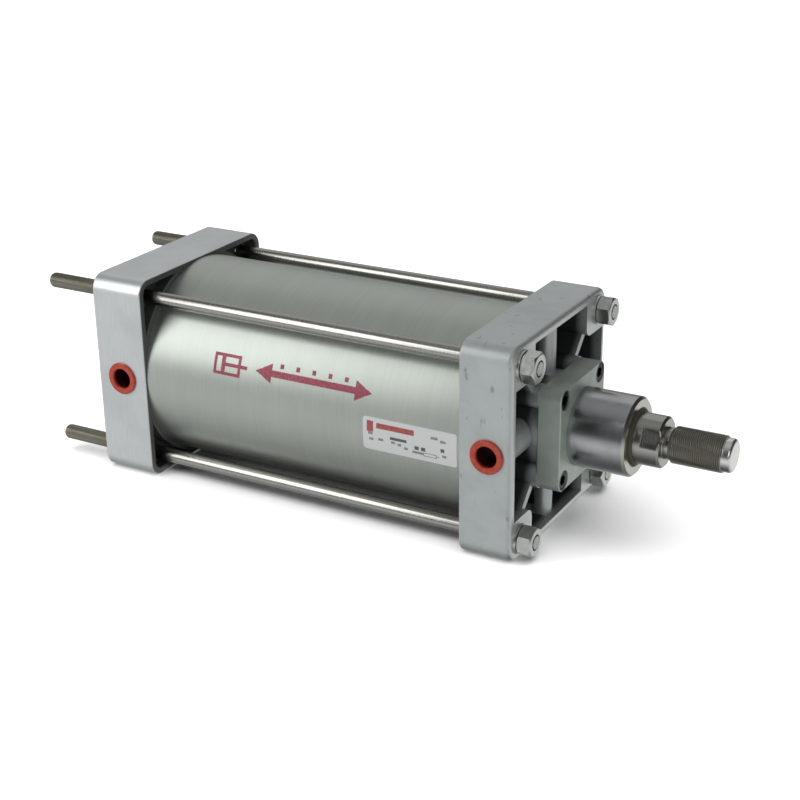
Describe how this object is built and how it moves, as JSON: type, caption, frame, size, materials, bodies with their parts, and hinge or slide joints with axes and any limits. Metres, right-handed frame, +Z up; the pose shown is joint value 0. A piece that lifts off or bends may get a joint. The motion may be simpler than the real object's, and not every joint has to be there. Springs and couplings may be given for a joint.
{
  "type": "pneumatic cylinder",
  "caption": "Large square-head tie-rod pneumatic cylinder with threaded rod end, rear mounting studs, side air ports and adjustable end cushioning.",
  "frame": {"origin": "centre of the rear end cap's mounting face, on the rod axis", "axes": "+X along the rod towards its threaded end, +Z up, the air ports face -Y"},
  "size_m": [0.7245, 0.2184, 0.216],
  "materials": {
    "cap_metal": "as-cast and tumbled, machined faces",
    "tube_metal": "fine circumferential brushing, anodised",
    "rod_steel": "drawn and polished bar",
    "chromed_rod": "ground and polished",
    "zinc_steel": "zinc plated",
    "black_steel": "blackened",
    "gland_metal": "machined, satin",
    "piston_metal": "machined",
    "bearing_bronze": "sintered bronze",
    "seal_rubber": "matt",
    "guide_plastic": "matt",
    "red_plastic": "moulded, semi-gloss",
    "label_film": "printed film"
  },
  "bodies": {
    "barrel": {"rear_end_cap": "cap_metal", "front_end_cap": "cap_metal", "cylinder_tube": "tube_metal", "tube_o_ring_rear": "seal_rubber", "tube_o_ring_front": "seal_rubber", "tie_rods": "rod_steel", "tie_rod_washers": "zinc_steel", "tie_rod_nuts": "zinc_steel", "gland_housing": "gland_metal", "gland_screws": "black_steel", "gland_o_ring": "seal_rubber", "rod_bush": "bearing_bronze", "rod_seal": "seal_rubber", "rod_wiper": "seal_rubber", "cushion_seal_rear": "seal_rubber", "cushion_seal_front": "seal_rubber", "cushion_screw_o_ring_rear": "seal_rubber", "cushion_screw_o_ring_front": "seal_rubber", "type_label": "label_film"},
    "piston_packing": {"piston_seal_rear": "seal_rubber", "piston_seal_front": "seal_rubber", "piston_guide_ring": "guide_plastic"},
    "rod_and_piston": {"piston_rod": "chromed_rod", "piston": "piston_metal", "piston_o_ring": "seal_rubber", "cushion_sleeve_rear": "rod_steel", "cushion_sleeve_front": "rod_steel", "piston_nut": "zinc_steel"},
    "port_plug_rear": {"port_plug_rear": "red_plastic"},
    "port_plug_front": {"port_plug_front": "red_plastic"},
    "cushion_screw_rear": {"cushion_screw_rear": "zinc_steel"},
    "cushion_screw_front": {"cushion_screw_front": "zinc_steel"}
  },
  "joints": [
    {"name": "rod_slide", "type": "slide", "parent": "barrel", "child": "piston_packing", "axis": [1, 0, 0], "range_m": [0, 0.3]},
    {"name": "rod_spin", "type": "hinge", "parent": "piston_packing", "child": "rod_and_piston", "pos_m": [0, 0, 0], "axis": [1, 0, 0], "continuous": true},
    {"name": "port_plug_rear_pull", "type": "slide", "parent": "barrel", "child": "port_plug_rear", "axis": [0, -1, 0], "range_m": [0, 0.04]},
    {"name": "port_plug_front_pull", "type": "slide", "parent": "barrel", "child": "port_plug_front", "axis": [0, -1, 0], "range_m": [0, 0.04]},
    {"name": "cushion_screw_rear_turn", "type": "hinge", "parent": "barrel", "child": "cushion_screw_rear", "pos_m": [0.04, 0, -0.09], "axis": [0, 0, -1], "range_deg": [-360, 360]},
    {"name": "cushion_screw_front_turn", "type": "hinge", "parent": "barrel", "child": "cushion_screw_front", "pos_m": [0.4636, 0, -0.09], "axis": [0, 0, -1], "range_deg": [-360, 360]}
  ]
}
